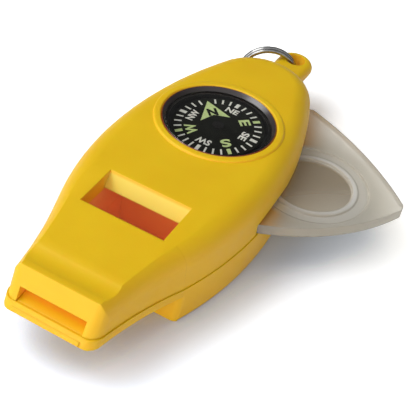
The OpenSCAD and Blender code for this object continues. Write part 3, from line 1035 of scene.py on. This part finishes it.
    def north_arrow(self) -> list[bpy.types.Object]:
        """Makes the arrow and the letter on it.

        Returns:
            The arrow and the letter.
        """
        arrow = flat_piece("north_arrow", [
            (-self.arrow_half, self.arrow_barb), (0, self.arrow_notch), (self.arrow_half, self.arrow_barb),
            (0, self.arrow_tip)], self.print_t)
        letter = lettering("north_letter", "N", (*self.north_size, self.print_t), self.north_weight)
        letter.data.transform(Matrix.Translation((0, self.north_r, self.print_t)))
        return [arrow, letter]

    def letters(self, word: DialWord) -> bpy.types.Object:
        """Makes the letters of one bearing.

        Args:
            word: What they say and where they stand.

        Returns:
            The letters, in place on the flat drawing.
        """
        piece = lettering("dial_" + word.words, word.words, (word.width, word.height, self.print_t),
                          self.word_weight)
        turn = Matrix.Rotation(-math.radians(word.bearing), 4, "Z")
        piece.data.transform(turn @ Matrix.Translation((0, word.radius, self.print_t / 2)))
        return piece

    def build(self) -> None:
        """Dresses the card, its jewel and its magnet, and prints the marks."""
        card, jewel, magnet = (frame["nodes"][node] for node in ("compass_card", "card_jewel", "card_magnet"))
        lacquer = self.card_finish.material()
        dress(card, lacquer)
        dress(jewel, self.jewel_finish.material())
        dress(magnet, self.magnet_finish.material())
        materials = {ink: finish.material() for ink, finish in self.inks.items()}
        marks = self.ticks(materials)
        for piece, material in zip(self.north_arrow(), (materials[Ink.LUMINOUS], lacquer)):
            dress(piece, material)
            marks.append(piece)
        for word in self.words():
            piece = self.letters(word)
            dress(piece, materials[word.ink])
            marks.append(piece)
        seat = self.seat()
        for piece in marks:
            piece.data.transform(seat)
            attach(piece, "card")
        self.pieces = [card, jewel, magnet, *marks]


@dataclass
class CarryRing:
    """The split ring: two turns of wire that step over each other."""

    coil_r: float = 5.6 * MM
    wire_t: float = 0.9 * MM
    step_angle: float = math.radians(26)
    end_gap: float = 1.15
    half_rise: float = 0.49
    stations: int = 300
    wire_sides: int = 20
    turn: float = math.radians(207.5)
    pitch: float = math.radians(28.5)
    eyelet: Triple = (0.0, 34.3 * MM, 8.992 * MM)
    finish: Metal = Metal("ring_chrome", main=srgb(182, 182, 180), other=srgb(148, 148, 148), rough_high=0.24)
    pieces: list[bpy.types.Object] = field(default_factory=list)

    def tree(self) -> ShapeTree:
        """The tree that winds the wire.

        Returns:
            The tree.
        """
        t = ShapeTree("split_coil", {
            "Coil Radius": "Float", "Wire Thickness": "Float", "Step Angle": "Float", "End Gap": "Float",
            "Half Rise": "Float", "Stations": "Int", "Wire Sides": "Int", "Material": "Material"})
        line = t.node("GeometryNodeCurvePrimitiveLine", {"Start": (0, 0, 0), "End": (1, 0, 0)})
        run = t.node("GeometryNodeResampleCurve", {"Curve": line.outputs[0], "Count": "Stations"})
        share = t.node("GeometryNodeSplineParameter").outputs["Factor"]
        one_turn = 2 * math.pi
        wound_angle = t.math("SUBTRACT", 2 * one_turn, t.math("MULTIPLY", "Step Angle", "End Gap"))
        angle = t.math("MULTIPLY", share, wound_angle)
        half = t.math("MULTIPLY", "Wire Thickness", "Half Rise")
        climb = t.node("ShaderNodeMapRange", {
            "Value": angle, 1: t.math("SUBTRACT", one_turn, "Step Angle"), 2: one_turn,
            3: t.math("MULTIPLY", half, -1.0), 4: half}, interpolation_type="SMOOTHSTEP")
        spot = t.vector(t.math("MULTIPLY", t.math("COSINE", angle), "Coil Radius"),
                        t.math("MULTIPLY", t.math("SINE", angle), "Coil Radius"), climb.outputs[0])
        wound = t.node("GeometryNodeSetPosition", {"Geometry": run.outputs[0], "Position": spot})
        profile = t.node("GeometryNodeCurvePrimitiveCircle", {
            "Resolution": "Wire Sides", "Radius": t.math("MULTIPLY", "Wire Thickness", 0.5)})
        wire = t.node("GeometryNodeCurveToMesh", {
            "Curve": wound.outputs[0], "Profile Curve": profile.outputs[0], "Fill Caps": True})
        t.close(wire.outputs[0])
        return t

    def hang(self) -> Matrix:
        """The place of the ring, from lying round the origin to hanging in the eyelet.

        Returns:
            The matrix.
        """
        upright = Matrix.Translation((self.coil_r, 0, 0)) @ Matrix.Rotation(math.radians(90), 4, "X")
        tipped = Matrix.Rotation(self.turn, 4, "Z") @ Matrix.Rotation(self.pitch, 4, "Y")
        return Matrix.Translation(self.eyelet) @ tipped @ upright

    def build(self) -> None:
        """Winds the ring and hangs it in the eyelet."""
        chrome = self.finish.material()
        ring = self.tree().bake("carry_ring", {
            "Coil Radius": self.coil_r, "Wire Thickness": self.wire_t, "Step Angle": self.step_angle,
            "End Gap": self.end_gap, "Half Rise": self.half_rise, "Stations": self.stations,
            "Wire Sides": self.wire_sides, "Material": chrome})
        ring.data.transform(self.hang())
        for face in ring.data.polygons:
            face.use_smooth = len(face.vertices) == 4
        self.pieces = [stand_in(ring, chrome, "split_ring", "ring")]


@dataclass(frozen=True)
class StudioLamp:
    """A soft box: where it hangs, how large it is and how strong."""

    name: str
    place: Triple
    size: float
    watts: float

    def hang(self, target: Triple) -> None:
        """Adds the lamp, turned to the object.

        Args:
            target: The point it shines at.
        """
        data = bpy.data.lights.new(self.name, "AREA")
        data.shape = "SQUARE"
        data.size = self.size
        data.energy = self.watts
        lamp = add_to_scene(self.name, data)
        lamp.location = self.place
        lamp.rotation_euler = (Vector(target) - Vector(self.place)).to_track_quat("-Z", "Y").to_euler()


@dataclass
class Studio:
    """The pale floor, the lamps, the sky and the camera."""

    eye: Triple = (50.865 * MM, -130.021 * MM, 115.376 * MM)
    ahead: Triple = (-0.26802, 0.70839, -0.65296)
    roll: float = 11.732
    focal_px: float = 1000.0
    image_px: float = 420.0
    sensor_mm: float = 36.0
    clip_near: float = 0.005
    clip_far: float = 20.0
    floor_size: float = 3.0
    floor_main: Colour = srgb(246, 246, 246)
    floor_other: Colour = tuple(0.98 * part for part in floor_main)
    floor_clouds: float = 14.0
    floor_seen: Colour = (1.62, 1.69, 1.81)
    # Painted shadow: the floor is seen darker and bluer where the object stands close over it, and that
    # painted shadow is tinted bluer in front and warmer to the side.
    painted_floor_shadow: Colour = (0.59, 0.68, 0.85)
    front_tint: Colour = (0.98, 1.06, 1.15)
    side_tint: Colour = (1.04, 1.0, 0.94)
    tint_from: float = -40 * MM
    tint_to: float = 15 * MM
    tint_along: Triple = (0.57, 0.82, 0.0)
    contact: float = 13 * MM
    contact_samples: int = 12
    covered: float = 0.45
    uncovered: float = 0.98
    white_from: float = 0.20
    white_to: float = 0.34
    sky_front: float = 0.86
    sky_rear: float = 0.20
    front_until: float = -0.6
    rear_from: float = 0.5
    lamps: tuple[StudioLamp, ...] = (
        StudioLamp("front_box", (-0.16, -0.60, 0.27), 0.50, 1.45),
        StudioLamp("top_box", (-0.36, -0.15, 0.51), 0.40, 1.85),
    )
    aim: Triple = (0.0, 0.0, 8 * MM)

    def camera(self) -> None:
        """Places the camera of the photograph."""
        ahead = Vector(self.ahead).normalized()
        level = ahead.cross(Vector((0, 0, 1))).normalized()
        fall = ahead.cross(level).normalized()
        cosine, sine = math.cos(math.radians(self.roll)), math.sin(math.radians(self.roll))
        right, down = level * cosine - fall * sine, level * sine + fall * cosine
        data = bpy.data.cameras.new("photo_camera")
        data.sensor_width = self.sensor_mm
        data.lens = self.sensor_mm * self.focal_px / self.image_px
        data.clip_start, data.clip_end = self.clip_near, self.clip_far
        camera = add_to_scene("photo_camera", data)
        turn = Matrix((right, -down, -ahead)).transposed()
        camera.matrix_world = Matrix.Translation(self.eye) @ turn.to_4x4()
        bpy.context.scene.camera = camera

    def seen_paper(self, g: Graph) -> Socket:
        """The floor as the eye sees it: with painted shadow close to the object and plain white far away.

        Args:
            g: The nodes of the floor.

        Returns:
            The shader.
        """
        # Painted shadow: darker close to the object, tinted bluer in front and warmer to the side.
        near = g.node("ShaderNodeAmbientOcclusion", {"Distance": self.contact}, samples=self.contact_samples)
        shade = g.blend(g.spread(near.outputs["AO"], 0.0, 1.0, self.covered, self.uncovered),
                        self.painted_floor_shadow, self.floor_seen)
        tint = g.blend(g.spread(g.along(self.tint_along), 0.0, 1.0, self.tint_from, self.tint_to),
                       self.front_tint, self.side_tint)
        paper = g.node("ShaderNodeBsdfDiffuse", {"Color": g.blend(1.0, shade, tint, "MULTIPLY")})
        away = g.spread(g.distance(), 0.0, 1.0, self.white_from, self.white_to)
        return g.choose(away, paper.outputs[0], g.node("ShaderNodeEmission").outputs[0])

    def floor_material(self) -> bpy.types.Material:
        """Makes the paper of the floor, which is seen brighter than it lights the object.

        Returns:
            The material.
        """
        g = Graph(bpy.data.materials.new("floor_paper"))
        rays = g.node("ShaderNodeLightPath").outputs
        seen = g.math("MAXIMUM", rays["Is Camera Ray"], rays["Is Transmission Ray"])
        colour = g.blend(g.spread(g.noise(self.floor_clouds), 0.0, 1.0), self.floor_main, self.floor_other)
        paper = g.node("ShaderNodeBsdfDiffuse", {"Color": colour})
        return g.close(g.choose(seen, paper.outputs[0], self.seen_paper(g)))

    def floor(self) -> None:
        """Lays the floor."""
        half = self.floor_size / 2
        corners = [(-half, -half, 0), (half, -half, 0), (half, half, 0), (-half, half, 0)]
        mesh = bpy.data.meshes.new("studio_floor")
        mesh.from_pydata(corners, [], [(0, 1, 2, 3)])
        floor = add_to_scene("studio_floor", mesh)
        dress(floor, self.floor_material())

    def sky(self) -> None:
        """Lights the room softly from all sides, more so from the front, and is pale to the eye."""
        g = Graph(bpy.data.worlds.new("studio_sky"))
        strength = g.spread(g.axes("Generated")[1], self.sky_front, self.sky_rear, self.front_until,
                            self.rear_from)
        soft = g.node("ShaderNodeBackground", {"Strength": strength})
        seen = g.node("ShaderNodeBackground", {"Strength": 1.0})
        rays = g.node("ShaderNodeLightPath").outputs
        bpy.context.scene.world = g.close(g.choose(rays["Is Camera Ray"], soft.outputs[0], seen.outputs[0]))

    def build(self) -> None:
        """Sets up the whole studio."""
        bpy.context.scene.view_settings.view_transform = "Standard"
        self.floor()
        self.sky()
        for lamp in self.lamps:
            lamp.hang(self.aim)
        self.camera()


def main() -> None:
    """Builds and dresses every sub-assembly in order, and then the studio."""
    logging.basicConfig(level=logging.INFO, format="%(name)s: %(message)s")
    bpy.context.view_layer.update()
    for part in (ShellPair(), MagnifierLeaf(), CompassCapsule(), CompassCard(), CarryRing()):
        part.build()
        for piece in part.pieces:
            LOG.info("%s: %s, %d faces", type(part).__name__, piece.name, len(piece.data.polygons))
    Studio().build()
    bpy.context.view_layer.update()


if __name__ == "__main__":
    main()
